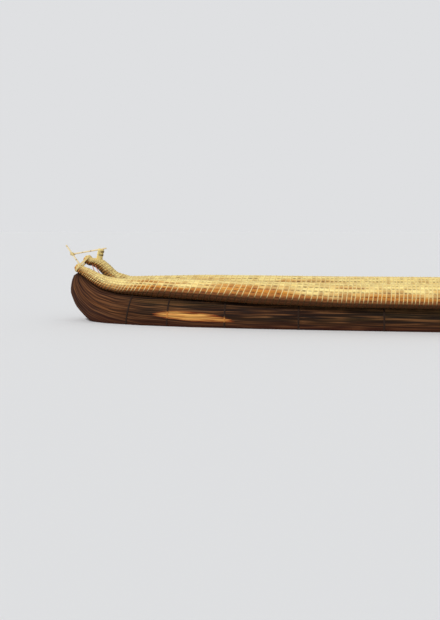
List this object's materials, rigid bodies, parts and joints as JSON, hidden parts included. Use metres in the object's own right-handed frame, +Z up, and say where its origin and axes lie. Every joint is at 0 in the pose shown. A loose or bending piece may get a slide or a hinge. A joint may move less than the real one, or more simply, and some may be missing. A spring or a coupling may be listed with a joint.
{
  "type": "reed boat",
  "caption": "Open boat of reed bundles: main bundles pressed side by side, a gunwale roll bound along each, upturned ends and a thin bow pole.",
  "frame": {"origin": "on the waterline, amidships, on the centre plane", "axes": "+X forward to the bow, +Y to port, +Z up"},
  "size_m": [14.1093, 2.5018, 2.0237],
  "materials": {
    "weathered_reed": "matte, weathered",
    "deck_reed": "matte",
    "golden_reed": "satin",
    "reed_rope": "matte",
    "dark_rope": "matte",
    "pale_cane": "satin"
  },
  "bodies": {
    "root": {"main_bundle_port": "weathered_reed", "main_bundle_starboard": "weathered_reed", "core_bundle": "deck_reed", "gunwale_roll_port": "golden_reed", "gunwale_roll_starboard": "golden_reed", "roll_rings_port": "reed_rope", "roll_rings_starboard": "reed_rope", "hull_hoops_port": "dark_rope", "hull_hoops_starboard": "dark_rope", "bow_binding": "reed_rope", "stern_binding": "reed_rope", "bow_pole": "pale_cane", "bow_post": "golden_reed", "bow_rail": "pale_cane", "bow_sticks": "pale_cane"}
  },
  "joints": []
}
